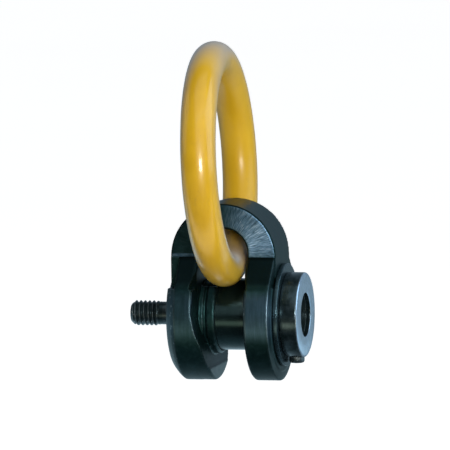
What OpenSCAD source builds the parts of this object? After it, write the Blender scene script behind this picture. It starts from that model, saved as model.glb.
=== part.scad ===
// Side-pull swivel hoist ring: a forged clevis body turns on a bushing that a
// socket head screw clamps to the load, and a round lifting ring hangs in the
// flared eye of the body. X is the screw axis (+X towards the screw head),
// -Y is the front, +Z is up. The origin is the centre of the seating face.

/* [Body] */
// Half width of the body across the legs, along the screw axis
body_half = 17.0; // [16.5:0.1:17.5]
// Outside radius of the arch
arch_r = 16.9; // [16.6:0.1:16.9]
// Height of the arch centre above the screw axis
arch_z = 18.9; // [18.5:0.1:19.5]
// Half depth of the arch at its outer edge
arch_depth = 9.8; // [9.4:0.1:10.2]
// Half width of the eye between the legs
eye_half = 7.6; // [7.6:0.1:7.9]
// Top of the eye above the screw axis
eye_top = 27.9; // [27.6:0.1:28.2]
// Depth behind the middle where the rear flare starts
flare_depth = 1.6; // [1.3:0.1:1.8]
// Radius of the disc lobes
lobe_r = 20.8; // [20.2:0.1:21.2]
// Top of the step where the leg meets the thread-side lobe
step_z = 9.5; // [9:0.1:10]
// Inner face of the thread-side lobe, from the body centre
lobe_in = 8.1; // [8:0.1:8.3]
// Inner face of the pad under the thread-side lobe, from the body centre
pad_in = 4.0; // [3.6:0.1:4.4]
// Inner face of the head-side lobe, from the body centre
lobe_in_head = 8.5; // [8.5:0.1:9]
// Bevel on the inner edges of the rear leg shoulders
leg_bevel = 2.0; // [1.8:0.1:2.4]
// Bevel on the inner edges of the front leg shoulders
front_bevel = 0.6; // [0.5:0.1:1.0]
// How far the legs open out towards their shoulders
leg_open = 1.9; // [1.8:0.1:2.1]
// Radius of the boss round the barrel
boss_r = 12.4; // [12.2:0.1:12.6]

/* [Lifting ring] */
// Radius of the ring centreline
ring_r = 33.0; // [32.5:0.1:34]
// Diameter of the ring bar
ring_bar = 11.11; // [10.8:0.01:11.3]
// Sideways offset of the hanging ring centre from the body centre
ring_side = -0.3; // [-0.4:0.1:-0.2]
// Forward offset of the hanging ring centre
ring_forward = 11.8; // [10:0.1:12.5]
// Lean of the ring towards the thread side, degrees
ring_lean = 3; // [0:0.5:4]
// Turn of the ring plane about the vertical, degrees
ring_turn = 2.3; // [0:0.1:3]

/* [Bushing and collar] */
// Radius of the bushing barrel
barrel_r = 11.30; // [11.2:0.01:11.34]
// Bore radius of the lobes that turn on the barrel
lobe_bore_r = 11.35; // [11.35:0.01:11.38]
// Radius of the seating flange
flange_r = 13.0; // [12.6:0.1:13.1]
// Thickness of the seating flange
flange_t = 3.0; // [2.6:0.1:3]
// Radius of the head-side collar
collar_r = 13.4; // [13.2:0.1:13.8]
// Outer face of the collar
collar_face = 41.7; // [41.4:0.1:42]
// Radius of the screw head pocket
pocket_r = 6.9; // [6.6:0.1:7]
// Radius of the head-side thrust washer
washer_r = 16.2; // [15.8:0.1:16.6]

/* [Screw] */
// Major radius of the 5/16-18 screw thread
thread_r = 3.97; // [3.95:0.01:3.97]
// Radius of the clearance bore through the bushing
screw_bore_r = 4.03; // [4.02:0.01:4.05]
// Length of the screw under its head
screw_len = 44.45; // [43.5:0.05:46]
// Thread length at the tip
thread_len = 9.2; // [8.5:0.1:9.5]
// Radius of the plain neck behind the thread
neck_r = 3.6; // [3.5:0.05:3.65]
// Radius of the screw head
head_r = 5.95; // [5.8:0.05:6]
// Height of the screw head
head_h = 7.94; // [7.8:0.01:8]
// Hexagon socket across flats
hex_af = 6.35; // [6:0.05:6.4]

/* [Hidden] */
$fn = 96;

// Places along the screw axis
out_thread = 0.5;                    // thread-side outer plane of the body
body_c = body_half + out_thread;     // body centre
out_head = body_c + body_half;       // head-side outer plane of the body
recess_x = flange_t + 1.0;           // floor of the flange recess
collar_back = out_head + 1.5;        // back face of the collar
lock_x = collar_back + 2.6;          // axis of the collar lock screw
head_x = 30.0;                       // underside of the screw head
head_top = head_x + head_h;
washer_x = 28.4;                     // floor of the screw head pocket
tip_x = head_x - screw_len;          // tip of the screw

leg_in = eye_half;                   // inner face of the legs, from the body centre
spigot_r = 9.0;                      // press spigot under the collar
spigot_len = 4.2;
thrust_play = 0.05;                  // gap at each face of a thrust washer
washer_play = 0.03;                  // gap at each face of the screw washer
clip_x = 1.0;                        // start of the retaining ring
clip_t = 1.0;
clip_play = 0.02;                    // gap between the ring and its groove
clip_groove_r = 3.0;
lock_r = 1.5;                        // shank of the lock screw
lock_head_r = 2.45;
lock_seat_z = -12.3;                 // floor of the lock screw counterbore
dimple_z = -8.0;                     // floor of the lock screw dimple
below = -20;                         // start of radial cuts, outside the collar

ring_cross_z = 17.8;                 // the bar passes the body mid-plane here
ring_cz = ring_cross_z + sqrt(ring_r * ring_r - ring_forward * ring_forward);

// A solid turned about the screw axis from [radius, x] points.
module turned(points) {
    rotate([0, 90, 0]) rotate_extrude() polygon(points);
}

// A cylinder on the screw axis.
module rod(radius, start, length) {
    translate([start, 0, 0]) rotate([0, 90, 0]) cylinder(r = radius, h = length);
}

// An upright cylinder on the axis of the collar lock screw.
module lock_rod(radius, bottom, top) {
    translate([lock_x, 0, bottom]) cylinder(r = radius, h = top - bottom);
}

// Point on the rear flare, a shallow concave dish: [radius, -depth], with
// part running from 0 at the eye to 1 at the rim.
function dish(part) = [
    eye_half - 0.3 + (arch_r + 0.6 - eye_half) * part,
    -flare_depth - (arch_depth - flare_depth) * (part - 0.30 * part * (1 - part))
];

// The round arch, flat in front, with the eye cut through and flared at the rear.
module arch() {
    steps = 6;
    flare_end = -15;                                // clear of the rear face
    eye_centre = eye_top - eye_half - arch_z;       // centre of the eye's round top
    slot_bottom = -10;
    translate([body_c, 0, arch_z]) rotate([90, 0, 0]) difference() {
        cylinder(r = arch_r, h = 2 * arch_depth, center = true);
        // rear flare
        rotate_extrude() polygon(concat(
            [[0, flare_end], [arch_r + 0.3, flare_end]],
            [for (i = [steps:-1:0]) dish(i / steps)],
            [[0, -flare_depth]]));
        // eye, a round-topped slot
        linear_extrude(40, center = true) {
            translate([0, eye_centre]) circle(eye_half);
            translate([-eye_half, slot_bottom])
                square([2 * eye_half, eye_centre - slot_bottom]);
        }
        // lower half, cut just under the arch centre
        translate([-40, -80, -40]) cube([80, 79.93, 80]);
    }
}

// Rear edge of a leg from the arch down to the screw axis: [y, z].
shoulder_y = 17.5;
leg_edge = [
    [arch_depth, arch_z], [shoulder_y, arch_z + arch_depth - shoulder_y],
    [18.5, 9.4], [19.6, 6.8], [20.4, 3.7], [20.7, 0.4]
];

// One leg, at +X: a slab with 45 degree shoulders out to the disc, and a
// narrower outer part. Its inner face opens out towards the shoulders, whose
// inner edges are bevelled.
module leg(slab_out) {
    root = leg_in - 2;
    block_in = leg_in + 1;
    block_half = arch_depth - 0.04;
    open_x = leg_in + leg_open;
    flat_x = leg_in + 0.05;
    flat_y = arch_depth + 0.3;
    difference() {
        union() {
            translate([root, 0, 0]) rotate([90, 0, 90]) linear_extrude(slab_out - root)
                polygon(concat(
                    [for (point = leg_edge) [-point[0], point[1]]],
                    [for (i = [len(leg_edge) - 1:-1:0]) leg_edge[i]]));
            translate([block_in, -block_half, 0.2])
                cube([arch_r - block_in, 2 * block_half, arch_z - 0.25]);
        }
        // space between the legs, seen from above: [x, y]
        translate([0, 0, -1]) linear_extrude(30) polygon([
            [0, -22], [open_x, -22], [open_x, -19], [leg_in + 0.15, -13.4],
            [flat_x, -flat_y], [flat_x, flat_y],
            [open_x, 19], [open_x, 22], [0, 22]
        ]);
        bevel_cut(front_bevel);
        mirror([0, 1, 0]) bevel_cut(leg_bevel);
    }
}

// Cutter for a bevel along the inner edge of the front shoulder of a leg.
module bevel_cut(size) {
    shoulder = (arch_z + arch_depth) / sqrt(2);     // shoulder plane to screw axis
    edge_x = leg_in + 0.4;
    over = 3;                                       // how far the cutter overshoots
    mirror([0, 1, 0]) rotate([45, 0, 0]) translate([0, 0, -14]) linear_extrude(30)
        polygon([
            [edge_x - over, shoulder - (size + over) / sqrt(2)],
            [edge_x + size + 1, shoulder + 1 / sqrt(2)],
            [edge_x - over, shoulder + over]
        ]);
}

// Block that trims a lobe above its step.
module step_cut(z, length) {
    translate([-10, -30, z]) cube([length, 60, 30]);
}

// Disc on the thread side: bevelled outside, with a pad below the screw axis
// whose upper edge is relieved, and a grooved boss round the barrel.
module lobe_thread() {
    lobe_face = body_c - lobe_in;
    pad_face = body_c - pad_in;
    pad_r = lobe_r - 0.1;
    root = body_c - 9;              // pad and boss start inside the disc
    groove_r = boss_r - 0.5;
    edge = 0.4;
    difference() {
        union() {
            turned([
                [0, out_thread], [17.0, out_thread], [lobe_r, out_thread + 3.1],
                [lobe_r, lobe_face - edge], [lobe_r - edge, lobe_face], [0, lobe_face]
            ]);
            difference() {
                turned([
                    [0, root], [pad_r, root], [pad_r, pad_face - edge],
                    [pad_r - edge, pad_face], [0, pad_face]
                ]);
                // relief of the pad: [x from the body centre, z]
                translate([body_c, 40, 0]) rotate([90, 0, 0]) linear_extrude(80)
                    polygon([
                        [-10, 30], [-8.2, 1.5], [-7.9, 0], [-7.0, -4.5], [-5.8, -7.7],
                        [-5.0, -11.8], [-4.3, -15.4], [-3.4, -17.5], [5, -17.5], [5, 30]
                    ]);
            }
            turned([
                [0, root], [boss_r, root], [boss_r, body_c - 6.3],
                [groove_r, body_c - 6.0], [groove_r, body_c - 5.5],
                [boss_r, body_c - 5.2], [boss_r, body_c - 2.9],
                [boss_r - edge, body_c - 2.5], [0, body_c - 2.5]
            ]);
        }
        step_cut(step_z, 60);
    }
}

// Disc on the head side, with a thin raised face.
module lobe_head() {
    lobe_face = body_c + lobe_in_head;
    edge = 0.5;
    difference() {
        turned([
            [0, lobe_face], [lobe_r - edge, lobe_face], [lobe_r, lobe_face + edge],
            [lobe_r, out_head - 0.6], [18.0, out_head - 0.3], [17.7, out_head],
            [0, out_head]
        ]);
        step_cut(step_z + 0.3, 80);
    }
}

module swivel_body() color([0.17, 0.22, 0.23]) {
    difference() {
        union() {
            arch();
            translate([body_c, 0, 0]) leg(body_half - 0.55);
            translate([body_c, 0, 0]) mirror([1, 0, 0]) leg(body_half - 3.05);
            lobe_thread();
            lobe_head();
        }
        // running bore for the barrel and recess for the flange
        rod(lobe_bore_r, -5, 60);
        rod(flange_r + 0.1, -5, 5 + recess_x);
    }
}

module lifting_ring() color([0.93, 0.74, 0.12]) {
    translate([body_c + ring_side, -ring_forward, ring_cz])
        rotate([0, 0, ring_turn]) rotate([0, -ring_lean, 0]) rotate([0, 90, 0])
            rotate_extrude() translate([ring_r, 0]) circle(d = ring_bar, $fn = 48);
}

module bushing() color([0.20, 0.26, 0.27]) {
    edge = 0.4;
    spigot_end = collar_back + spigot_len;
    difference() {
        turned([
            [0, 0], [flange_r - edge, 0], [flange_r, edge], [flange_r, flange_t],
            [barrel_r, flange_t], [barrel_r, collar_back], [spigot_r, collar_back],
            [spigot_r, spigot_end], [0, spigot_end]
        ]);
        rod(screw_bore_r, -5, 60);
        rod(pocket_r, washer_x, 30);
        // counterbore in the seating face
        rod(6.2, -1, 4.4);
        // dimple that takes the tip of the lock screw
        lock_rod(lock_r + 0.05, below, dimple_z);
    }
}

module head_collar() color([0.55, 0.66, 0.72]) {
    back_edge = 0.4;
    face_edge = 0.8;
    difference() {
        turned([
            [0, collar_back], [collar_r - back_edge, collar_back],
            [collar_r, collar_back + back_edge], [collar_r, collar_face - face_edge],
            [collar_r - face_edge, collar_face], [0, collar_face]
        ]);
        rod(pocket_r, collar_back - 1, 20);
        rod(spigot_r, collar_back - 1, 1 + spigot_len);
        lock_rod(lock_r, below, -7);
        lock_rod(lock_head_r + 0.05, below, lock_seat_z);
    }
}

module head_thrust_washer() color([0.30, 0.38, 0.40]) {
    back = out_head + thrust_play;
    face = collar_back - thrust_play;
    edge = 0.2;
    difference() {
        turned([
            [0, back], [washer_r - edge, back], [washer_r, back + edge],
            [washer_r, face - edge], [washer_r - edge, face], [0, face]
        ]);
        rod(lobe_bore_r, 30, 10);
    }
}

module seat_thrust_washer() color([0.55, 0.45, 0.30]) {
    difference() {
        rod(flange_r - 0.1, flange_t + thrust_play, recess_x - flange_t - 2 * thrust_play);
        rod(lobe_bore_r, 0, 10);
    }
}

module socket_screw() color([0.25, 0.27, 0.28]) {
    tip_edge = 1.2;
    head_edge = 0.6;
    thread_end = tip_x + thread_len;
    neck_end = 5.0;
    taper = 0.4;                    // length of the slope at each end of the neck
    groove_start = clip_x - clip_play;
    groove_end = clip_x + clip_t + clip_play;
    difference() {
        turned([
            [0, tip_x], [thread_r - tip_edge, tip_x], [thread_r, tip_x + tip_edge],
            [thread_r, thread_end], [neck_r, thread_end + taper],
            [neck_r, groove_start], [clip_groove_r, groove_start],
            [clip_groove_r, groove_end], [neck_r, groove_end],
            [neck_r, neck_end], [thread_r, neck_end + taper],
            [thread_r, head_x], [head_r, head_x], [head_r, head_top - head_edge],
            [head_r - head_edge, head_top], [0, head_top]
        ]);
        // hexagon socket with a conical floor
        rod(hex_af / 2 / cos(30), head_top - 4.2, 6, $fn = 6);
        translate([head_top - 4.9, 0, 0]) rotate([0, 90, 0])
            cylinder(r1 = 0.3, r2 = hex_af / 2 - 0.1, h = 0.71);
    }
}

module screw_washer() color([0.50, 0.52, 0.54]) {
    difference() {
        rod(pocket_r - 0.15, washer_x + washer_play, head_x - washer_x - 2 * washer_play);
        rod(4.1, 20, 20);
    }
}

module screw_retaining_ring() color([0.45, 0.46, 0.47]) {
    gap = 1.8;
    difference() {
        rod(5.2, clip_x, clip_t);
        rod(clip_groove_r + clip_play, -1, 5);
        // spring gap
        translate([0, -gap / 2, -8]) cube([4, gap, 8]);
    }
}

module collar_lock_screw() color([0.22, 0.28, 0.29]) {
    head_end = -collar_r - 1.8;
    edge = 0.5;
    socket_af = 2.0;
    difference() {
        union() {
            translate([lock_x, 0, head_end]) cylinder(r1 = 2.0, r2 = lock_head_r, h = edge);
            lock_rod(lock_head_r, head_end + edge, lock_seat_z - 0.02);
            lock_rod(lock_r, -13, dimple_z - 0.1);
        }
        translate([lock_x, 0, head_end - 0.01])
            cylinder(r = socket_af / 2 / cos(30), h = 1.2, $fn = 6);
    }
}

swivel_body();
lifting_ring();
bushing();
head_collar();
head_thrust_washer();
seat_thrust_washer();
socket_screw();
screw_washer();
screw_retaining_ring();
collar_lock_screw();
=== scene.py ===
# A swivel lifting eye. The captive screw lies along X, from its threaded tip (-X) to its
# knurled head (+X). A forged clevis body swivels about it on a bushing: two discs round the
# screw, two legs and an arch with an eye above (+Z). A round ring hangs through the eye.
# The front is -Y. Sizes are in millimetres and become metres as the meshes are made.
import bpy, bmesh, math, random
from contextlib import contextmanager
from functools import partial, reduce
from mathutils import Matrix, Vector, noise


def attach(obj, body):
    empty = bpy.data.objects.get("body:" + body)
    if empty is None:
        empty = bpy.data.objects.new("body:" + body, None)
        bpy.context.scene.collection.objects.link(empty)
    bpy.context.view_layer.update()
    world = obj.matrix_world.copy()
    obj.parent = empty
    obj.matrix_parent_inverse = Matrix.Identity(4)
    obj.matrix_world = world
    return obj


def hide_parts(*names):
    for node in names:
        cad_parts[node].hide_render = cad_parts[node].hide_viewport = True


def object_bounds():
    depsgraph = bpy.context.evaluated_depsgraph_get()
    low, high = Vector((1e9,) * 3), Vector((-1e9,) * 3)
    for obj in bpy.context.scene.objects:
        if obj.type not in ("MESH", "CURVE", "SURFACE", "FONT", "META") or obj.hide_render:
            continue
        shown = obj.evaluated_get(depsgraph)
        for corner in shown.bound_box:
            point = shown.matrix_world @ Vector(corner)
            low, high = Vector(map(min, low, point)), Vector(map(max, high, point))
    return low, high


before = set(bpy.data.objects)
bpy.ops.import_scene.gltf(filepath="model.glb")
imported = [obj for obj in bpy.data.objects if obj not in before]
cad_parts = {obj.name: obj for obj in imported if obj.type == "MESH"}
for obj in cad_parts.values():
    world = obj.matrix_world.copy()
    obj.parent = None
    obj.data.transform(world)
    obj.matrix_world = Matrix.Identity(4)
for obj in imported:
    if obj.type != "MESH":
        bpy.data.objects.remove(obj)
cad_lo, cad_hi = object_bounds()
random.seed(7)
MM = 0.001
TO_MM = 1000         # shader positions are in metres

# ---------------------------------------------------------------- sizes, mm
# clevis body
BODY_X = 17.5                              # middle of the body on the screw axis
SEAT_FACE, HEAD_FACE = 0.5, 34.5           # x of its outer faces
HALF_WIDTH = BODY_X - SEAT_FACE
ARCH_R, ARCH_Z, ARCH_D = 16.9, 18.9, 9.8   # outer radius, centre height, half depth
EYE_R, EYE_TOP = 7.6, 27.9                 # half width of the eye slot, height of its top
FLARE_D = 1.6                              # y of the dished rear face at the eye
DISC_R = 20.8
STEP_Z = 9.5                               # top of the seat-side disc
HEAD_INNER = BODY_X + 8.5                  # inner face of the head-side disc
LEG_IN, LEG_OPEN = 7.6, 1.9                # half gap between the legs, its widening at the sides
BEVEL_F, BEVEL_R = 0.6, 2.0                # bevels on the legs' front and rear slopes
BORE_R = 11.35

# bushing and collar
BARREL_R = 11.30
FLANGE_R, FLANGE_T = 13.0, 3.0
COLLAR_START, COLLAR_END, COLLAR_R = 36.0, 41.7, 13.4
SPIGOT_R, SPIGOT_END = 9.0, 40.2           # bushing end inside the collar
POCKET_R, POCKET_X = 6.9, 28.4             # pocket for the screw head
LOCK_X = COLLAR_START + 2.6                # lock screw, below the axis
LOCK_SEAT = -12.3                          # z of the floor of its counterbore

# screw
TIP, THREAD_L, PITCH = -14.45, 10.4, 25.4 / 18
NECK_R = 3.6
HEAD_X, HEAD_L, HEAD_R = 30.0, 7.94, 5.95


# ---------------------------------------------------------------- mesh tools
@contextmanager
def editing(part):
    """Opens an object's mesh as a bmesh and writes it back."""
    edit = bmesh.new()
    edit.from_mesh(part.data)
    yield edit
    edit.to_mesh(part.data)
    edit.free()


def mesh_object(name, verts, faces, scale):
    mesh = bpy.data.meshes.new(name)
    mesh.from_pydata([tuple(c * scale for c in v) for v in verts], [], faces)
    mesh.validate()
    mesh.update()
    part = bpy.data.objects.new(name, mesh)
    bpy.context.scene.collection.objects.link(part)
    return part


def solid(name, verts, faces, scale=MM):
    """A closed mesh with its normals turned outward."""
    part = mesh_object(name, verts, faces, scale)
    with editing(part) as edit:
        bmesh.ops.recalc_face_normals(edit, faces=edit.faces)
    return part


def rounded(points, radius, steps=4, special={}):
    """Rounds the corners of a closed outline, save those on the axis.

    special gives some corners, by index, a radius of their own.
    """
    out = []
    for i, point in enumerate(points):
        corner = Vector(point)
        before = Vector(points[i - 1]) - corner
        after = Vector(points[(i + 1) % len(points)]) - corner
        if corner.x < 1e-6:
            out.append(tuple(corner))
            continue
        len_before, len_after = before.length, after.length
        before.normalize()
        after.normalize()
        angle = math.acos(max(-1, min(1, before.dot(after))))
        if angle > math.pi - 0.02:
            out.append(tuple(corner))
            continue
        # the arc may take up just under half of either side
        wanted = special.get(i, radius) / math.tan(angle / 2)
        reach = min(wanted, 0.48 * len_before, 0.48 * len_after)
        r = reach * math.tan(angle / 2)
        centre = corner + (before + after).normalized() * (r / math.sin(angle / 2))
        start = corner + before * reach - centre
        end = corner + after * reach - centre
        a0 = math.atan2(start.y, start.x)
        a1 = math.atan2(end.y, end.x)
        sweep = (a1 - a0 + math.pi) % (2 * math.pi) - math.pi
        for k in range(steps + 1):
            a = a0 + sweep * k / steps
            out.append((centre.x + r * math.cos(a), centre.y + r * math.sin(a)))
    return out


def lathe(name, outline, segs, origin=(0, 0, 0), axis="X", scale=MM, wobble=None):
    """Turns a closed outline of (radius, along) about an axis; wobble adds to the radius."""
    order = {"X": (2, 0, 1), "Y": (1, 2, 0), "Z": (0, 1, 2)}[axis]
    verts, faces, rings = [], [], []
    for radius, along in outline:
        on_axis = radius < 1e-6
        first = len(verts)
        for k in range(1 if on_axis else segs):
            a = 2 * math.pi * k / segs
            r = 0.0 if on_axis else radius + (wobble(a, along, radius) if wobble else 0.0)
            spot = (r * math.cos(a), r * math.sin(a), along)
            verts.append(tuple(spot[j] + shift for j, shift in zip(order, origin)))
        rings.append(range(first, len(verts)))
    for i, a in enumerate(rings):
        b = rings[(i + 1) % len(rings)]
        if len(a) == 1 and len(b) == 1:
            continue
        for k in range(segs):
            k2 = (k + 1) % segs
            if len(a) == 1:
                faces.append((a[0], b[k2], b[k]))
            elif len(b) == 1:
                faces.append((a[k], a[k2], b[0]))
            else:
                faces.append((a[k], a[k2], b[k2], b[k]))
    return solid(name, verts, faces, scale)


def side_quads(n):
    """The faces between two rings of n vertices."""
    return [(i, (i + 1) % n, n + (i + 1) % n, n + i) for i in range(n)]


def prism(name, outline, lo, hi, plane, scale=MM):
    """A straight block of an outline; plane names the outline's two axes."""
    n = len(outline)
    third = [c for c in "XYZ" if c not in plane][0]
    verts = []
    for h in (lo, hi):
        for u, v in outline:
            spot = {plane[0]: u, plane[1]: v, third: h}
            verts.append((spot["X"], spot["Y"], spot["Z"]))
    caps = [tuple(range(n - 1, -1, -1)), tuple(range(n, 2 * n))]
    return solid(name, verts, caps + side_quads(n), scale)


def hexagon(radius, turn=0, x=0.0):
    angles = [math.radians(60 * i + turn) for i in range(6)]
    return [(x + radius * math.cos(a), radius * math.sin(a)) for a in angles]


def bake(part):
    """Applies every modifier."""
    bpy.context.view_layer.update()
    graph = bpy.context.evaluated_depsgraph_get()
    mesh = bpy.data.meshes.new_from_object(part.evaluated_get(graph))
    part.modifiers.clear()
    old = part.data
    part.data = mesh
    bpy.data.meshes.remove(old)


def boolean(part, tool, operation):
    """Joins or cuts with the tool, which is used up."""
    mod = part.modifiers.new("bool", "BOOLEAN")
    mod.operation = operation
    mod.object = tool
    mod.solver = "EXACT"
    bake(part)
    bpy.data.objects.remove(tool, do_unlink=True)


def cut(part, tool):
    boolean(part, tool, "DIFFERENCE")


def join(part, tool):
    boolean(part, tool, "UNION")


def keep_largest(part):
    """Drops every loose scrap and keeps the largest connected piece."""
    with editing(part) as edit:
        seen, pieces = set(), []
        for start in edit.verts:
            if start in seen:
                continue
            seen.add(start)
            piece = [start]
            for vert in piece:      # the list grows as neighbours are found
                for edge in vert.link_edges:
                    other = edge.other_vert(vert)
                    if other not in seen:
                        seen.add(other)
                        piece.append(other)
            pieces.append(piece)
        largest = set(max(pieces, key=len))
        scraps = [v for v in edit.verts if v not in largest]
        bmesh.ops.delete(edit, geom=scraps, context="VERTS")


def smooth_shade(part, crease):
    """Shades smooth; edges sharper than crease degrees stay hard, if it is given."""
    for face in part.data.polygons:
        face.use_smooth = True
    if crease is None:
        return
    with editing(part) as edit:
        for e in edit.edges:
            hard = len(e.link_faces) == 2 and e.calc_face_angle(0) > math.radians(crease)
            e.smooth = not hard


# ---------------------------------------------------------------- node tools
class Nodes:
    """Adds nodes to an emptied tree; most methods return the new node's output socket."""
    def __init__(self, tree):
        self.tree = tree
        tree.nodes.clear()

    def node(self, kind, **props):
        node = self.tree.nodes.new(kind)
        for key, value in props.items():
            setattr(node, key, value)
        return node

    def plug(self, socket, value):
        """Links a socket, or sets a number or colour."""
        if isinstance(value, bpy.types.NodeSocket):
            self.tree.links.new(value, socket)
        elif isinstance(value, tuple):
            socket.default_value = (*value, 1)
        else:
            socket.default_value = value

    def fill(self, node, *values):
        """Plugs the values into a node's first inputs."""
        for i, value in enumerate(values):
            self.plug(node.inputs[i], value)
        return node.outputs[0]

    def math(self, operation, *values):
        return self.fill(self.node("ShaderNodeMath", operation=operation), *values)

    def mul(self, *values):
        return reduce(partial(self.math, "MULTIPLY"), values)

    def add(self, *values):
        return reduce(partial(self.math, "ADD"), values)

    def sub(self, a, b):
        return self.math("SUBTRACT", a, b)

    def hypot(self, a, b):
        return self.math("SQRT", self.add(self.mul(a, a), self.mul(b, b)))

    def weighted(self, *pairs):
        """The sum of (value, weight) pairs."""
        return self.add(*[self.mul(value, weight) for value, weight in pairs])

    def vary(self, base, by, amount):
        return self.add(base, self.mul(by, amount))

    def fade(self, value, over, to=(0.0, 1.0)):
        """Maps the range over onto the range to, clamped."""
        return self.fill(self.node("ShaderNodeMapRange", clamp=True), value, *over, *to)

    def position(self):
        return self.node("ShaderNodeTexCoord").outputs["Object"]

    def xyz(self, vector):
        node = self.node("ShaderNodeSeparateXYZ")
        self.plug(node.inputs[0], vector)
        return node.outputs

    def normal_xyz(self):
        return self.xyz(self.node("ShaderNodeNewGeometry").outputs["Normal"])

    def combine(self, x=0.0, y=0.0, z=0.0):
        return self.fill(self.node("ShaderNodeCombineXYZ"), x, y, z)

    def noise(self, vector, scale, detail=3.0, rough=0.55, distort=0.0):
        node = self.node("ShaderNodeTexNoise")
        for key, value in (("Vector", vector), ("Scale", scale), ("Detail", detail),
                           ("Roughness", rough), ("Distortion", distort)):
            self.plug(node.inputs[key], value)
        return node.outputs[0]

    def ramp(self, value, stops):
        """A colour ramp of (position, colour) stops."""
        node = self.node("ShaderNodeValToRGB")
        self.plug(node.inputs[0], value)
        elements = node.color_ramp.elements
        while len(elements) < len(stops):
            elements.new(0.5)
        for element, (position, color) in zip(elements, stops):
            element.position = position
            element.color = (*color, 1)
        return node.outputs[0]

    def mix(self, base, toward, mask, strength=None):
        """Mixes a colour toward another by a mask, which strength scales."""
        if strength is not None:
            mask = self.mul(mask, strength)
        node = self.node("ShaderNodeMix", data_type="RGBA", blend_type="MIX")
        self.plug(node.inputs[0], mask)
        self.plug(node.inputs[6], base)      # colour A
        self.plug(node.inputs[7], toward)    # colour B
        return node.outputs[2]

    def bump(self, height, strength, distance):
        node = self.node("ShaderNodeBump")
        for key, value in (("Strength", strength), ("Distance", distance), ("Height", height)):
            self.plug(node.inputs[key], value)
        return node.outputs[0]

    def edges(self, over):
        """A mask of convex edges, from the pointiness."""
        geometry = self.node("ShaderNodeNewGeometry")
        return self.fade(geometry.outputs["Pointiness"], over=over)

    def mix_shader(self, factor, a, b):
        return self.fill(self.node("ShaderNodeMixShader"), factor, a, b)


class Material(Nodes):
    """A node material with one Principled BSDF."""
    INPUTS = {"color": "Base Color", "metal": "Metallic", "rough": "Roughness",
              "normal": "Normal", "coat": "Coat Weight", "coat_rough": "Coat Roughness",
              "spec": "Specular IOR Level", "glow_color": "Emission Color",
              "glow": "Emission Strength"}

    def __init__(self, name):
        self.material = bpy.data.materials.new(name)
        self.material.use_nodes = True
        super().__init__(self.material.node_tree)
        self.output = self.node("ShaderNodeOutputMaterial")
        self.bsdf = self.node("ShaderNodeBsdfPrincipled")
        self.plug(self.output.inputs[0], self.bsdf.outputs[0])

    def shade(self, **values):
        for key, value in values.items():
            self.plug(self.bsdf.inputs[self.INPUTS[key]], value)


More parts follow.
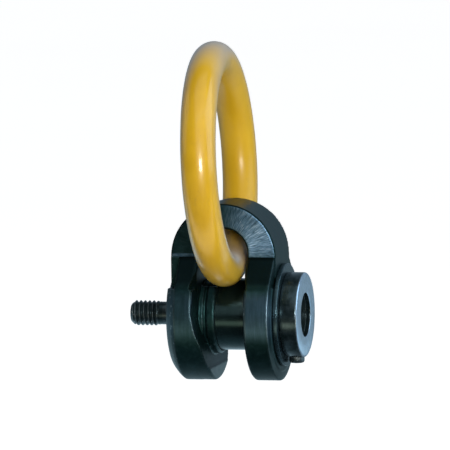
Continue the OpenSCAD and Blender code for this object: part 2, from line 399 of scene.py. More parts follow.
# ---------------------------------------------------------------- materials
def forging_material():
    n = Material("black_oxide_forging")
    p = n.position()
    x, y, z = n.xyz(p)
    # polar coordinates about a point just above the arch's centre, in mm
    dx = n.mul(n.sub(x, BODY_X * MM), TO_MM)
    dz = n.mul(n.sub(z, (ARCH_Z + 1.2) * MM), TO_MM)
    radius = n.hypot(dx, dz)
    angle = n.math("ARCTAN2", dz, dx)
    _, ny, nz = n.normal_xyz()

    # faces of the arch that look to the front and rear, with radial tool marks
    facing = n.fade(n.math("ABSOLUTE", ny), over=(0.91, 0.97))
    upper = n.fade(z, over=((ARCH_Z - 0.2) * MM, (ARCH_Z + 0.5) * MM))
    faced = n.mul(facing, upper)

    def streaks(around, outward, offset, **look):
        spot = n.combine(n.mul(angle, around), n.mul(radius, outward), offset)
        return n.noise(spot, **look)

    broad = streaks(around=9.0, outward=0.10, offset=0.0,
                    scale=3.2, detail=4.0, rough=0.62, distort=0.25)
    narrow = streaks(around=30.0, outward=0.22, offset=4.0, scale=2.4, detail=3.0, rough=0.6)
    marks = n.weighted((broad, 0.65), (narrow, 0.35))
    # a painted highlight: a bright steel-blue sector on the head side of the face, streaked
    # along the tool marks
    highlight_sector = n.mul(n.fade(angle, over=(-0.05, 0.20), to=(0.45, 1.0)),
                   n.fade(angle, over=(1.60, 0.55), to=(0.03, 1.0)),
                   n.fade(radius, over=(17.5, 15.2), to=(0.25, 1.0)))

    turned = n.noise(n.combine(x=n.mul(x, TO_MM)), scale=5.5, detail=4.0, rough=0.7)
    mottle = n.noise(p, scale=420, detail=5.0, rough=0.62, distort=0.4)
    fine = n.noise(p, scale=2600, detail=3.0, rough=0.6)
    oxide = n.ramp(mottle, [(0.30, (0.007, 0.027, 0.028)), (0.55, (0.012, 0.039, 0.040)),
                            (0.75, (0.022, 0.056, 0.062))])
    # the sector's painted highlight colours, dark to bright along the tool marks
    streaked_sheen = n.ramp(marks, [(0.34, (0.040, 0.075, 0.110)), (0.52, (0.17, 0.32, 0.52)),
                          (0.68, (0.54, 0.76, 1.0))])
    color = n.mix(oxide, toward=streaked_sheen, mask=n.mul(faced, n.mul(highlight_sector, 0.95)))

    # a painted highlight band across the discs' front rims, streaked in lines, brighter on the
    # head side where more light falls
    head_side = n.fade(x, over=((BODY_X + 7.0) * MM, (BODY_X + 9.0) * MM), to=(0.50, 1.0))
    line_spot = n.combine(x=n.mul(x, TO_MM), z=n.mul(z, 90))
    lines = n.noise(line_spot, scale=1.1, detail=4.0, rough=0.65)
    rim_highlight_band = n.mul(n.fade(z, over=(9.6 * MM, 7.0 * MM)),
                 n.fade(z, over=(-7.5 * MM, -3.5 * MM)),
                 n.fade(y, over=(-15.0 * MM, -18.5 * MM)),
                 head_side,
                 n.fade(lines, over=(0.30, 0.65), to=(0.35, 1.0)))
    color = n.mix(color, toward=(0.050, 0.095, 0.138), mask=rim_highlight_band, strength=0.85)

    # worn edges, fewer of them on the arch
    edge = n.edges(over=(0.505, 0.56))
    patches = n.fade(n.noise(p, scale=900, detail=4.0, rough=0.7), over=(0.40, 0.62))
    worn = n.mul(edge, patches, n.sub(1.0, n.mul(upper, 0.85)))
    color = n.mix(color, toward=(0.20, 0.26, 0.30), mask=worn, strength=0.34)
    # painted highlight lines on the rims' edges inside that highlight band
    color = n.mix(color, toward=(0.30, 0.40, 0.46), mask=n.mul(edge, rim_highlight_band), strength=0.55)

    # painted shade: slanting edge faces of the arch and upper legs are darkened by their slant
    chamfer_shade = n.mul(n.fade(n.math("ABSOLUTE", ny), over=(0.40, 0.55)),
                    n.fade(n.math("ABSOLUTE", ny), over=(0.91, 0.97), to=(1.0, 0.0)),
                    n.fade(z, over=(9.0 * MM, 12.0 * MM)))
    color = n.mix(color, toward=(0.004, 0.012, 0.013), mask=chamfer_shade, strength=0.88)
    # painted shade also darkens the small upward-facing shoulder where a leg meets the arch
    shoulder = n.mul(n.fade(z, over=(17.9 * MM, 18.5 * MM)),
                     n.fade(z, over=(19.8 * MM, 20.4 * MM), to=(1.0, 0.0)),
                     n.fade(nz, over=(0.08, 0.25)))
    color = n.mix(color, toward=(0.002, 0.007, 0.008), mask=shoulder, strength=0.90)

    height = n.weighted((n.mul(marks, faced), 1.6), (n.mul(turned, n.sub(1.0, faced)), 0.45),
                        (fine, 0.35), (mottle, 0.8))
    n.shade(color=color, metal=0.86, rough=n.vary(base=0.34, by=mottle, amount=0.16),
            normal=n.bump(height, strength=0.30, distance=0.00010), spec=0.20)
    return n.material


def enamel_material():
    n = Material("yellow_enamel")
    p = n.position()
    broad = n.noise(p, scale=60, detail=3.0, rough=0.5)
    peel = n.noise(p, scale=700, detail=2.0, rough=0.5)
    grime = n.noise(p, scale=210, detail=5.0, rough=0.65, distort=0.6)
    specks = n.noise(p, scale=1500, detail=2.0, rough=0.5)
    color = n.ramp(broad, [(0.30, (0.600, 0.330, 0.007)), (0.55, (0.670, 0.380, 0.010)),
                           (0.80, (0.720, 0.425, 0.015))])
    color = n.mix(color, toward=(0.36, 0.20, 0.03),
                  mask=n.fade(grime, over=(0.62, 0.80), to=(0.0, 0.30)))
    color = n.mix(color, toward=(0.25, 0.15, 0.04),
                  mask=n.fade(specks, over=(0.73, 0.78), to=(0.0, 0.45)))
    # a painted sheen: upward faces seen at a grazing angle are paled, standing in for a pale
    # reflection from above
    weight = n.node("ShaderNodeLayerWeight")
    weight.inputs["Blend"].default_value = 0.5
    nz = n.normal_xyz()[2]
    grazing_sheen = n.mul(n.fade(weight.outputs["Facing"], over=(0.38, 0.85), to=(0.0, 0.80)),
                  n.fade(nz, over=(-0.10, 0.55), to=(0.10, 1.0)))
    color = n.mix(color, toward=(0.46, 0.40, 0.37), mask=grazing_sheen)
    # the enamel is glossier towards the front
    gloss = n.fade(n.xyz(p)[1], over=(-16.0 * MM, -6.0 * MM), to=(0.72, 0.15))
    height = n.weighted((peel, 1.0), (broad, 2.0))
    n.shade(color=color, metal=0.0, rough=n.vary(base=0.30, by=grime, amount=0.16),
            coat=gloss, coat_rough=0.15,
            normal=n.bump(height, strength=0.16, distance=0.00012), spec=0.30)
    return n.material


def turned_material(name, dark, light, metal, rough, groove, bump,
                    edge=(0.5, 0.56, 0.6), face=None):
    """Turned steel: lines round the X axis, rings on the end faces.

    groove is the lines' density per mm, edge the colour of worn edges, and face a
    light colour painted on end faces towards +X as a highlight, if it is given.
    """
    n = Material(name)
    p = n.position()
    x, y, z = n.xyz(p)
    radius = n.hypot(y, z)
    spot = n.combine(n.mul(x, TO_MM * groove), n.mul(radius, TO_MM * groove))
    lines = n.noise(spot, scale=1.0, detail=4.0, rough=0.7)
    mottle = n.noise(p, scale=380, detail=4.0, rough=0.6, distort=0.3)
    smut = n.noise(p, scale=90, detail=4.0, rough=0.6)
    tone = n.weighted((lines, 0.55), (mottle, 0.45))
    color = n.ramp(tone, [(0.32, dark), (0.68, light)])
    color = n.mix(color, toward=tuple(c * 0.55 for c in dark),
                  mask=n.fade(smut, over=(0.55, 0.75), to=(0.0, 0.35)))
    worn = n.mul(n.edges(over=(0.505, 0.57)), n.fade(mottle, over=(0.35, 0.6), to=(0.2, 1.0)))
    color = n.mix(color, toward=edge, mask=worn, strength=0.6)
    if face is not None:
        nx = n.normal_xyz()[0]
        # painted highlight: faces turned towards +X, where the key light falls, take the light
        # face colour
        ground = n.mul(n.fade(nx, over=(0.30, 0.75)),
                       n.fade(mottle, over=(0.2, 0.6), to=(0.75, 1.0)),
                       n.fade(lines, over=(0.32, 0.66), to=(0.72, 1.0)),
                       n.fade(smut, over=(0.50, 0.72), to=(1.0, 0.80)))
        color = n.mix(color, toward=face, mask=ground)
    height = n.weighted((lines, 1.0), (mottle, 0.6))
    n.shade(color=color, metal=metal,
            rough=n.vary(base=rough, by=n.sub(mottle, 0.5), amount=0.12),
            normal=n.bump(height, strength=bump, distance=0.00008))
    return n.material


FORGING = forging_material()
ENAMEL = enamel_material()
BUSHING_STEEL = turned_material(
    "ground_black_steel", dark=(0.008, 0.024, 0.025), light=(0.020, 0.044, 0.047),
    metal=0.80, rough=0.20, groove=9.0, bump=0.10)
# its end face towards +X gets a painted highlight in the face colour
COLLAR_STEEL = turned_material(
    "blued_collar", dark=(0.006, 0.018, 0.019), light=(0.016, 0.036, 0.039),
    metal=0.80, rough=0.22, groove=7.0, bump=0.16,
    edge=(0.30, 0.40, 0.48), face=(0.54, 0.70, 0.88))
WASHER_STEEL = turned_material(
    "dark_washer", dark=(0.020, 0.048, 0.060), light=(0.044, 0.085, 0.105),
    metal=0.85, rough=0.28, groove=8.0, bump=0.14, edge=(0.10, 0.15, 0.17))
BRONZE = turned_material(
    "bronze_washer", dark=(0.30, 0.19, 0.08), light=(0.52, 0.35, 0.16),
    metal=0.90, rough=0.36, groove=6.0, bump=0.18, edge=(0.7, 0.5, 0.3))
SCREW_STEEL = turned_material(
    "black_screw_steel", dark=(0.012, 0.026, 0.029), light=(0.036, 0.060, 0.068),
    metal=0.80, rough=0.32, groove=6.0, bump=0.16)
BRIGHT_STEEL = turned_material(
    "bright_washer", dark=(0.30, 0.32, 0.34), light=(0.48, 0.50, 0.52),
    metal=0.95, rough=0.30, groove=7.0, bump=0.14)
SPRING_STEEL = turned_material(
    "spring_steel", dark=(0.16, 0.17, 0.18), light=(0.28, 0.29, 0.30),
    metal=0.92, rough=0.34, groove=7.0, bump=0.16)

# CAD piece: (the moving body it rides, its material slot)
PIECES = {
    "swivel_body": ("swivel", "black_oxide_forging"),
    "lifting_ring": ("ring", "yellow_enamel"),
    "bushing": ("core", "ground_black_steel"),
    "head_collar": ("core", "blued_collar"),
    "head_thrust_washer": ("head_washer", "ground_black_steel"),
    "seat_thrust_washer": ("seat_washer", "bronze_washer"),
    "socket_screw": ("screw", "black_screw_steel"),
    "screw_washer": ("screw", "bright_washer"),
    "screw_retaining_ring": ("screw", "spring_steel"),
    "collar_lock_screw": ("core", "black_screw_steel"),
}


def place(part, piece, material, crease=None):
    """Gives a part its material and shading, and puts it in a CAD piece's place."""
    body, slot = PIECES[piece]
    part.data.materials.clear()
    part.data.materials.append(material)
    smooth_shade(part, crease)
    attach(part, body)
    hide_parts(piece)


# ---------------------------------------------------------------- clevis body
# The body is built with 1 unit to the mm, for the voxel remesh, and scaled at the end.
turn = partial(lathe, segs=220, scale=1.0)
block = partial(prism, scale=1.0)
ARCH_AT = (BODY_X, 0, ARCH_Z)


def cut_heights(part, lo, hi):
    """Cuts away everything between two heights."""
    cut(part, block("c", [(-30, -30), (70, -30), (70, 30), (-30, 30)], lo, hi, "XY"))


def dish(t):
    """(radius, y) on the dished rear face, from the eye at t = 0 to the rim at t = 1."""
    return (EYE_R - 0.3 + (ARCH_R + 0.6 - EYE_R) * t,
            FLARE_D + (ARCH_D - FLARE_D) * (t - 0.30 * t * (1 - t)))


def body_arch():
    """The flat-fronted arch, turned about Y, dished at the rear, with its eye slot."""
    face = ARCH_D - 0.03
    # radius, y
    profile = [(0, -face), (ARCH_R - 0.35, -face), (ARCH_R, -face + 0.35),
               (ARCH_R, face - 0.35), (ARCH_R - 0.3, face), (0, face)]
    arch = turn("arch", profile, origin=ARCH_AT, axis="Y")
    steps = 16
    rear = [dish(i / steps) for i in range(steps + 1)]
    cone = [(0, FLARE_D)] + rear + [(ARCH_R + 2, 15), (0, 15)]
    cut(arch, turn("cone", cone, origin=ARCH_AT, axis="Y"))

    eye_z = EYE_TOP - EYE_R
    slot = [(BODY_X - EYE_R, -10)]
    for i in range(41):
        a = math.pi * i / 40
        slot.append((BODY_X - EYE_R * math.cos(a), eye_z + EYE_R * math.sin(a)))
    slot.append((BODY_X + EYE_R, -10))
    cut(arch, block("slot", slot, -20, 20, "XZ"))

    # a small bevel round the front of the eye
    n = len(slot)
    verts = []
    for y, grow in ((-face - 0.4, 1.0), (-face + 0.6, 0.0)):
        for u, v in slot:
            dx, dz = u - BODY_X, max(0.0, v - eye_z)
            length = math.hypot(dx, dz)
            verts.append((u + grow * dx / length, y, v + grow * dz / length))
    caps = [tuple(range(n)), tuple(range(2 * n - 1, n - 1, -1))]
    cut(arch, solid("bev", verts, caps + side_quads(n), 1.0))
    cut_heights(arch, -30, ARCH_Z - 0.07)
    return arch


def body_leg(sign, slab_out):
    """A leg on the head side (sign 1) or seat side (-1), out to slab_out from the middle."""
    d = ARCH_D
    # y, z: sloping at 45 degrees under the arch, then bulging to the disc's width
    outline = [(-d, ARCH_Z), (-17.5, ARCH_Z + d - 17.5), (-18.5, 9.4), (-19.6, 6.8),
               (-20.4, 3.7), (-20.7, 0.4), (20.7, 0.4), (20.4, 3.7), (19.6, 6.8),
               (18.5, 9.4), (17.5, ARCH_Z + d - 17.5), (d, ARCH_Z)]
    lo, hi = sorted((BODY_X + sign * (LEG_IN - 2), BODY_X + sign * slab_out))
    leg = block("slab", outline, lo, hi, "YZ")
    # a narrower block as wide as the arch
    lo, hi = sorted((BODY_X + sign * (LEG_IN + 1), BODY_X + sign * ARCH_R))
    outer = [(0.04 - d, 0.2), (d - 0.04, 0.2), (d - 0.04, ARCH_Z - 0.05),
             (0.04 - d, ARCH_Z - 0.05)]
    join(leg, block("outer", outer, lo, hi, "YZ"))
    # the gap between the legs widens to the front and rear; distance from the middle, y
    gap = [(0, -22), (LEG_IN + LEG_OPEN, -22), (LEG_IN + LEG_OPEN, -19),
           (LEG_IN + 0.15, -13.4), (LEG_IN + 0.05, -d - 0.3), (LEG_IN + 0.05, d + 0.3),
           (LEG_IN + LEG_OPEN, 19), (LEG_IN + LEG_OPEN, 22), (0, 22)]
    cut(leg, block("open", [(BODY_X + sign * u, v) for u, v in gap], -1, 29, "XY"))

    # bevel the inner edge of each slope with a triangular bar laid along it
    root2 = math.sqrt(2)
    slope = (ARCH_Z + d) / math.sqrt(2)      # distance of the slope from the X axis
    x0 = LEG_IN + 0.4
    for side, bevel in ((1, BEVEL_R), (-1, BEVEL_F)):
        # distance from the middle, distance from the X axis square to the slope
        tri = [(x0 - 3, slope - (bevel + 3) / root2), (x0 + bevel + 1, slope + 1 / root2),
               (x0 - 3, slope + 3)]
        verts = [(BODY_X + sign * x, side * (s - t) / root2, (s + t) / root2)
                 for t in (-14, 16) for x, s in tri]
        faces = [(0, 1, 2), (5, 4, 3), (0, 3, 4, 1), (1, 4, 5, 2), (2, 5, 3, 0)]
        cut(leg, solid("cut", verts, faces, 1.0))
    return leg


def seat_disc():
    """The seat-side disc with a trimmed pad and a grooved boss on its inner face."""
    # all outlines: radius, x
    disc = turn("disc", [
        (0, SEAT_FACE), (17.0, SEAT_FACE), (18.2, SEAT_FACE + 0.8), (19.7, SEAT_FACE + 2.05),
        (DISC_R, SEAT_FACE + 3.3), (DISC_R, BODY_X - 8.6), (DISC_R - 0.5, BODY_X - 8.1),
        (0, BODY_X - 8.1)])
    pad = turn("pad", [
        (0, BODY_X - 9), (DISC_R - 0.05, BODY_X - 9), (DISC_R - 0.05, BODY_X - 4.6),
        (DISC_R - 0.6, BODY_X - 4.0), (0, BODY_X - 4.0)])
    # the pad's inner face, thickening downwards: x from the middle, z
    trim = [(-10, 30), (-8.2, 1.5), (-7.9, 0), (-7.5, -2.4), (-7.0, -4.5), (-6.4, -6.3),
            (-5.8, -7.9), (-5.3, -9.9), (-5.0, -11.8), (-4.7, -13.5), (-4.3, -15.4),
            (-3.4, -17.5), (5, -17.5), (5, 30)]
    cut(pad, block("trim", [(BODY_X + u, v) for u, v in trim], -40, 40, "XZ"))
    boss = turn("boss", [
        (0, BODY_X - 9), (12.4, BODY_X - 9), (12.4, BODY_X - 6.4), (11.8, BODY_X - 6.05),
        (11.8, BODY_X - 5.45), (12.4, BODY_X - 5.1), (12.4, BODY_X - 3.0),
        (12.0, BODY_X - 2.5), (0, BODY_X - 2.5)])
    join(disc, pad)
    join(disc, boss)
    cut_heights(disc, STEP_Z, 60)
    return disc


def head_disc():
    disc = turn("disc", [
        (0, HEAD_INNER), (DISC_R - 0.6, HEAD_INNER), (DISC_R, HEAD_INNER + 0.6),
        (DISC_R, HEAD_FACE - 0.6), (18.0, HEAD_FACE - 0.3), (17.7, HEAD_FACE),
        (0, HEAD_FACE)])
    cut_heights(disc, STEP_Z + 0.3, 60)
    return disc


def build_body():
    body = body_arch()
    seat, head = seat_disc(), head_disc()
    for part in (body_leg(1, HALF_WIDTH - 0.55), body_leg(-1, HALF_WIDTH - 3.05), seat, head):
        join(body, part)
    # the bore, and a recess for the bushing's flange and the seat-side washer
    for radius, end in ((BORE_R, 60), (FLANGE_R + 0.1, FLANGE_T + 1.0)):
        cut(body, turn("bore", [(0, -5), (radius, -5), (radius, end), (0, end)]))
    # melt the joints together like a forging
    remesh = body.modifiers.new("r", "REMESH")
    remesh.mode = "VOXEL"
    remesh.voxel_size = 0.24
    remesh.use_smooth_shade = True
    soften = body.modifiers.new("s", "SMOOTH")
    soften.factor = 0.5
    soften.iterations = 3
    bake(body)
    keep_largest(body)
    body.data.transform(Matrix.Scale(MM, 4))
    body.data.update()
    body.name = "clevis_body"
    return body


place(build_body(), "swivel_body", FORGING)


# ---------------------------------------------------------------- lifting ring
def build_ring():
    ring_r, wire_r = 33.0, 11.11 / 2
    forward = 11.8       # the ring's centre lies this far in front of the screw axis
    crossing_z = 17.8    # the wire's centre crosses y = 0 here, before the tilts
    rise = math.sqrt(ring_r * ring_r - forward * forward)
    centre = Vector((BODY_X - 0.3, -forward, crossing_z + rise))
    # stood up in the YZ plane, then tilted a little
    rotation = (Matrix.Rotation(math.radians(2.3), 4, "Z")
                @ Matrix.Rotation(math.radians(-3), 4, "Y")
                @ Matrix.Rotation(math.radians(90), 4, "Y"))
    around, across = 288, 72
    verts, faces = [], []
    for i in range(around):
        a = 2 * math.pi * i / around
        # a forged bar is never quite even, and swells a hair at its closed weld
        off_weld = (a - math.radians(38)) / math.radians(2.2)
        weld = 0.045 * math.exp(-off_weld * off_weld)
        for j in range(across):
            b = 2 * math.pi * j / across
            spot = (Vector((math.cos(a) * 1.6, math.sin(a) * 1.6, 0)) * 3
                    + Vector((math.cos(b), math.sin(b), 0.3 * math.sin(b))))
            uneven = 0.030 * noise.noise(spot) + 0.016 * noise.noise(spot * 3.1)
            r = wire_r - 0.02 + uneven + weld
            out = ring_r + r * math.cos(b)
            flat = Vector((out * math.cos(a), out * math.sin(a), r * math.sin(b)))
            verts.append(rotation @ flat + centre)
    for i in range(around):
        row, after = i * across, ((i + 1) % around) * across
        for j in range(across):
            j2 = (j + 1) % across
            faces.append((row + j, after + j, after + j2, row + j2))
    return solid("round_lifting_ring", verts, faces)


place(build_ring(), "lifting_ring", ENAMEL)


# ---------------------------------------------------------------- bushing, collar, washers
def build_bushing():
    # radius, x
    outline = [(6.2, 0.0), (FLANGE_R, 0.0), (FLANGE_R, FLANGE_T), (BARREL_R, FLANGE_T),
               (BARREL_R, COLLAR_START), (SPIGOT_R, COLLAR_START), (SPIGOT_R, SPIGOT_END),
               (POCKET_R, SPIGOT_END), (POCKET_R, POCKET_X), (4.03, POCKET_X), (4.03, 3.4),
               (6.2, 3.4)]
    return lathe("swivel_bushing", rounded(outline, 0.12, 3, {0: 0.25, 1: 0.4}), 192)


def build_collar():
    """The head-side collar, with a stepped hole from below for the lock screw."""
    outline = [(SPIGOT_R, COLLAR_START), (COLLAR_R, COLLAR_START), (COLLAR_R, COLLAR_END),
               (POCKET_R, COLLAR_END), (POCKET_R, SPIGOT_END), (SPIGOT_R, SPIGOT_END)]
    outline = rounded(outline, 0.08, 5, {1: 0.4, 2: 0.75, 3: 0.35})
    collar = lathe("head_side_collar", outline, 224)
    # radius, z
    hole = [(0, -20), (2.5, -20), (2.5, LOCK_SEAT), (1.5, LOCK_SEAT), (1.5, -5), (0, -5)]
    cut(collar, lathe("hole", hole, 64, (LOCK_X, 0, 0), "Z"))
    return collar


def washer(name, inner, outer, start, end, edge, steps, segs):
    """A flat ring between two radii and two places on X, its edges rounded."""
    outline = [(inner, start), (outer, start), (outer, end), (inner, end)]
    return lathe(name, rounded(outline, edge, steps), segs)


place(build_bushing(), "bushing", BUSHING_STEEL, crease=32)
place(build_collar(), "head_collar", COLLAR_STEEL, crease=30)
place(washer("head_side_thrust_washer", inner=BORE_R, outer=16.2, start=HEAD_FACE + 0.05,
             end=COLLAR_START - 0.05, edge=0.3, steps=4, segs=192),
      "head_thrust_washer", WASHER_STEEL, crease=32)
place(washer("seat_side_thrust_washer", inner=BORE_R, outer=12.9, start=FLANGE_T + 0.05,
             end=FLANGE_T + 0.95, edge=0.12, steps=3, segs=160),
      "seat_thrust_washer", BRONZE, crease=32)


# ---------------------------------------------------------------- screw
def thread_depth(turns):
    """0 at the crest and 1 at the root, over one pitch."""
    crest, flank = 0.125, 0.775      # shares of half a pitch
    off = abs((turns % 1.0) - 0.5) * 2
    return max(0.0, min(1.0, (off - crest) / flank))


def build_shank():
    """The shank with a real helical thread, pointed at the tip and fading into the neck."""
    major_r, depth = 3.965, 0.62
    root_r = major_r - depth
    point_r, point_l = 2.85, 1.25
    fade_start, fade_end = TIP + 8.0, TIP + 9.3
    segs, row_step = 128, 0.062

    def thread_radius(x, a):
        cut_in = thread_depth(x / PITCH - a / (2 * math.pi))
        r = major_r - depth * cut_in
        if x > fade_start:
            left = max(0.0, min(1.0, (fade_end - x) / (fade_end - fade_start)))
            if r < NECK_R:
                r = (NECK_R - root_r) * (1 - left) * cut_in + r
            else:
                r = NECK_R * (1 - left) + r * left
        if x < TIP + point_l:
            r = min(r, point_r + (x - TIP) * (major_r - point_r) / point_l)
        else:
            r = min(r, major_r)
        return NECK_R if x > fade_end else r

    verts, rings = [(TIP, 0, 0)], []

    def add_ring(x, radius_at):
        first = len(verts)
        for k in range(segs):
            a = 2 * math.pi * k / segs
            r = radius_at(x, a)
            verts.append((x, r * math.cos(a), r * math.sin(a)))
        rings.append(range(first, len(verts)))

    x = TIP
    while x < TIP + THREAD_L:
        add_ring(x, thread_radius)
        x += row_step
    # the plain part, with the snap ring's groove; radius, x
    shank_end = HEAD_X - 0.02
    plain = rounded([(0, TIP + 9), (NECK_R, TIP + THREAD_L), (NECK_R, 0.98), (3.0, 0.98),
                     (3.0, 2.02), (NECK_R, 2.02), (NECK_R, 5.0), (3.97, 5.4),
                     (3.97, shank_end)], 0.06, 2)
    for radius, x in plain:
        if x > TIP + THREAD_L + 0.01 and radius > 0.5:
            add_ring(x, lambda x, a: radius)
    end = len(verts)
    verts.append((shank_end, 0, 0))

    faces = []
    for k in range(segs):
        k2 = (k + 1) % segs
        faces.append((0, rings[0][k2], rings[0][k]))
        faces.append((rings[-1][k], rings[-1][k2], end))
        for a, b in zip(rings, rings[1:]):
            faces.append((a[k], a[k2], b[k2], b[k]))
    return solid("captive_screw_shank", verts, faces)


def knurl(angle, x, radius):
    """64 flutes round the side of the head; the rest is a hair under size."""
    if radius > 5.6 and HEAD_X + 0.9 < x < HEAD_X + HEAD_L - 1.1:
        return -0.06 + 0.06 * math.cos(angle * 64)
    return -0.02


def build_head():
    """The knurled head with a hexagon socket."""
    top = HEAD_X + HEAD_L
    # radius, x
    profile = [(0, HEAD_X), (HEAD_R, HEAD_X), (HEAD_R, HEAD_X + 0.95)]
    profile += [(HEAD_R, HEAD_X + 1.0 + i * (HEAD_L - 2.2) / 6) for i in range(7)]
    profile += [(HEAD_R, top - 0.75), (HEAD_R - 0.12, top - 0.42), (HEAD_R - 0.40, top - 0.14),
                (HEAD_R - 0.75, top), (0, top)]
    head = lathe("captive_screw_head", profile, 256, wobble=knurl)
    across_flats = 6.35
    corner_r = across_flats / 2 / math.cos(math.radians(30))
    cut(head, prism("socket", hexagon(corner_r, turn=10), top - 4.2, top + 2, "YZ"))
    # conical socket floor, then the countersink at its mouth
    cut(head, lathe("floor_cone", [(0, top - 5.0), (3.05, top - 4.1), (0, top - 4.0)], 64))
    cut(head, lathe("countersink", [(0, top - 0.9), (2.9, top - 0.7), (3.95, top + 0.1),
                                    (0, top + 0.1)], 96))
    return head


def build_snap_ring():
    """A ring in the shank's groove, with a gap at the bottom."""
    snap = washer("screw_snap_ring", inner=3.02, outer=5.2, start=1.0, end=2.0,
                  edge=0.15, steps=3, segs=128)
    cut(snap, prism("gap", [(-0.9, -8), (0.9, -8), (0.9, 0), (-0.9, 0)], -1, 4, "YZ"))
    return snap


def build_lock_screw():
    """A button-head screw under the collar, with a small hexagon socket."""
    rim = -COLLAR_R
    shoulder = -12.34
    # radius, z
    profile = [(0, rim - 1.8), (1.7, rim - 1.8), (2.2, rim - 1.62), (2.42, rim - 1.25),
               (2.45, rim - 0.8), (2.45, shoulder), (1.5, shoulder), (1.5, -8.1), (0, -8.1)]
    lock = lathe("collar_lock_button_screw", profile, 72, (LOCK_X, 0, 0), "Z")
    cut(lock, prism("socket", hexagon(1.25, x=LOCK_X), rim - 2.5, rim - 0.7, "XY"))
    return lock


place(build_shank(), "socket_screw", SCREW_STEEL, crease=40)
place(build_head(), "socket_screw", SCREW_STEEL, crease=28)
place(washer("hardened_screw_washer", inner=4.1, outer=POCKET_R - 0.15, start=POCKET_X + 0.03,
             end=POCKET_X + 1.57, edge=0.18, steps=3, segs=128),
      "screw_washer", BRIGHT_STEEL, crease=32)
place(build_snap_ring(), "screw_retaining_ring", SPRING_STEEL, crease=32)
place(build_lock_screw(), "collar_lock_screw", SCREW_STEEL, crease=30)

# ---------------------------------------------------------------- floor, in metres
FLOOR_DROP = 0.080       # clears the lowest sweep of the ring


def floor_material():
    """A pale sheet that glows evenly to the camera and in zones to reflections."""
    n = Material("floor")
    p = n.position()
    x, y, _ = n.xyz(p)
    rays = n.node("ShaderNodeLightPath")
    glossy = rays.outputs["Is Glossy Ray"]
    color = n.ramp(n.noise(p, scale=6.0, detail=2.0, rough=0.5),
                   [(0.3, (0.60, 0.605, 0.61)), (0.7, (0.63, 0.632, 0.635))])

    # reflections are mapped as if the sheet were just under the discs
    geometry = n.node("ShaderNodeNewGeometry")
    ray_x, ray_y, ray_z = n.xyz(geometry.outputs["Incoming"])

    def raised(place_on_sheet, ray):
        least_rise = 0.02        # keeps level rays finite
        slope = n.math("DIVIDE", ray, n.math("MAXIMUM", ray_z, least_rise))
        return n.add(place_on_sheet, n.mul(slope, FLOOR_DROP))

    y = raised(y, ray_y)
    x = raised(x, ray_x)
    # pale behind the object, dark in front, and varied along the screw
    glow = n.add(n.fade(x, over=(0.008, 0.014), to=(0.15, 0.05)),
                 n.fade(y, over=(-0.018, 0.006), to=(0.0, 0.96)))
    glow = n.mul(glow, n.fade(y, over=(0.05, 0.12), to=(1.0, 0.35)))
    along = n.add(n.fade(x, over=(0.033, 0.038), to=(1.0, 0.30)),
                  n.fade(x, over=(0.050, 0.060), to=(0.0, 0.70)))
    glow = n.mul(glow, along)
    # a warm strip in front gives the barrel and collar their thin low highlight
    strip = n.mul(n.fade(y, over=(-0.085, -0.070), to=(0.0, 1.8)),
                  n.fade(y, over=(-0.048, -0.038), to=(1.0, 0.0)))
    glow = n.add(glow, strip)
    camera_glow = 0.90
    strength = n.add(n.mul(rays.outputs["Is Camera Ray"], camera_glow), n.mul(glossy, glow))
    tint = n.mix((0.60, 0.86, 1.0), toward=(1.0, 0.90, 0.66),
                 mask=n.fade(y, over=(-0.040, -0.030), to=(1.0, 0.0)))
    n.shade(color=n.mix(color, toward=(0.02, 0.02, 0.02), mask=glossy), rough=0.9, spec=0.0,
            glow_color=n.mix((1.0, 1.0, 1.0), toward=tint, mask=glossy), glow=strength)
    # clear from below
    clear = n.node("ShaderNodeBsdfTransparent")
    surface = n.mix_shader(geometry.outputs["Backfacing"], n.bsdf.outputs[0], clear.outputs[0])
    n.plug(n.output.inputs["Surface"], surface)
    return n.material


floor_z = cad_lo[2] - 0.0006 - FLOOR_DROP
corners = [(-3, -3, floor_z), (3, -3, floor_z), (3, 3, floor_z), (-3, 3, floor_z)]
floor = mesh_object("floor", corners, [(0, 1, 2, 3)], 1.0)
floor.data.materials.append(floor_material())


# ---------------------------------------------------------------- world
def build_world():
    """White to the camera, dim to the scene, and brighter to the rear in reflections."""
    world = bpy.data.worlds.new("studio")
    bpy.context.scene.world = world
    world.use_nodes = True
    n = Nodes(world.node_tree)

    def background(color, strength):
        return n.fill(n.node("ShaderNodeBackground"), color, strength)

    output = n.node("ShaderNodeOutputWorld")
    rays = n.node("ShaderNodeLightPath")
    toward_rear = n.xyz(n.node("ShaderNodeTexCoord").outputs["Generated"])[1]
    rear_glow = n.fade(toward_rear, over=(0.0, 0.95), to=(0.02, 0.40))
    rear_glow.node.interpolation_type = "SMOOTHSTEP"
    seen = background(color=(1, 1, 1), strength=1.0)
    ambient = background(color=(0.84, 0.94, 1.0), strength=0.16)
    reflected = background(color=(0.58, 0.80, 1.0), strength=rear_glow)
    lit = n.mix_shader(rays.outputs["Is Glossy Ray"], ambient, reflected)
    n.plug(output.inputs[0], n.mix_shader(rays.outputs["Is Camera Ray"], lit, seen))


build_world()


# ---------------------------------------------------------------- lights
def direction(azimuth, elevation):
    """Unit vector; azimuth turns from the front (-Y) towards +X, in radians."""
    return Vector((math.sin(azimuth) * math.cos(elevation),
                   -math.cos(azimuth) * math.cos(elevation), math.sin(elevation)))


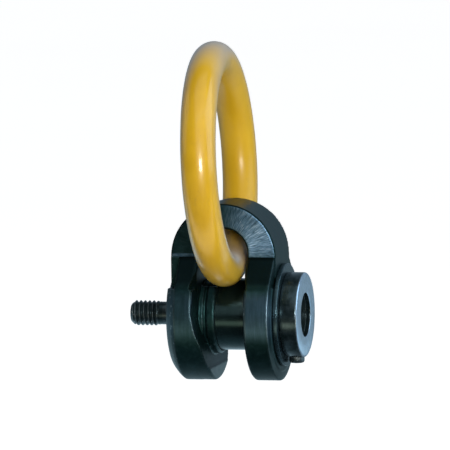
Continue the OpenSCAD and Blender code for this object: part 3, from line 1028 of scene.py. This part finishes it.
def area(name, az, el, dist, size, power, color):
    """An area light aimed at the body; angles in degrees, lengths in metres."""
    target = Vector((0.0175, -0.002, 0.03))
    outward = direction(math.radians(az), math.radians(el))
    light = bpy.data.lights.new(name, "AREA")
    light.shape = "RECTANGLE"
    light.size, light.size_y = size
    light.energy = power
    light.color = color
    lamp = bpy.data.objects.new(name, light)
    lamp.location = target + outward * dist
    lamp.rotation_euler = (-outward).to_track_quat("-Z", "Y").to_euler()
    bpy.context.scene.collection.objects.link(lamp)
    return lamp


area("key_right", az=95, el=25, dist=0.50, size=(0.40, 0.45), power=1.35,
     color=(0.66, 0.85, 1.0))
area("top", az=30, el=70, dist=0.50, size=(0.5, 0.4), power=0.55, color=(0.86, 0.94, 1.0))
area("front_soft", az=30, el=28, dist=0.75, size=(0.85, 0.75), power=1.75,
     color=(1.0, 0.99, 0.96))
# near the camera, one light makes only highlights and the other only fills
highlight = area("near_camera", az=25, el=7.5, dist=0.60, size=(0.180, 0.100), power=2.00,
                 color=(1.0, 0.99, 0.97))
highlight.visible_diffuse = False
fill = area("near_fill", az=25, el=9.0, dist=0.60, size=(0.20, 0.20), power=1.68,
            color=(1.0, 0.99, 0.97))
fill.visible_glossy = False
area("left_rim", az=-85, el=25, dist=0.55, size=(0.3, 0.4), power=0.25,
     color=(0.85, 0.95, 1.0))


# ---------------------------------------------------------------- camera
def build_camera():
    azimuth, elevation, roll = math.radians(13.3), math.radians(6.0), math.radians(0.82)
    distance = 3.0
    view_width = 141.75 * MM     # what the view spans at the body
    # the view's centre, from the body's middle on the screw axis
    shift_left, shift_up = 1.89 * MM, 27.972 * MM

    camera = bpy.data.cameras.new("camera")
    rig = bpy.data.objects.new("camera", camera)
    bpy.context.scene.collection.objects.link(rig)
    bpy.context.scene.camera = rig
    camera.sensor_width = 36
    camera.lens = 36 * distance / view_width
    camera.clip_end = 50

    back = direction(azimuth, elevation)
    level = Vector((math.cos(azimuth), math.sin(azimuth), 0))
    upright = back.cross(level)
    right = level * math.cos(roll) - upright * math.sin(roll)
    up = upright * math.cos(roll) + level * math.sin(roll)
    centre = Vector((BODY_X * MM, 0, 0)) - right * shift_left + up * shift_up
    rotation = Matrix((right, up, back)).transposed()
    rig.matrix_world = Matrix.Translation(centre + back * distance) @ rotation.to_4x4()


build_camera()
bpy.context.scene.view_settings.view_transform = "Standard"
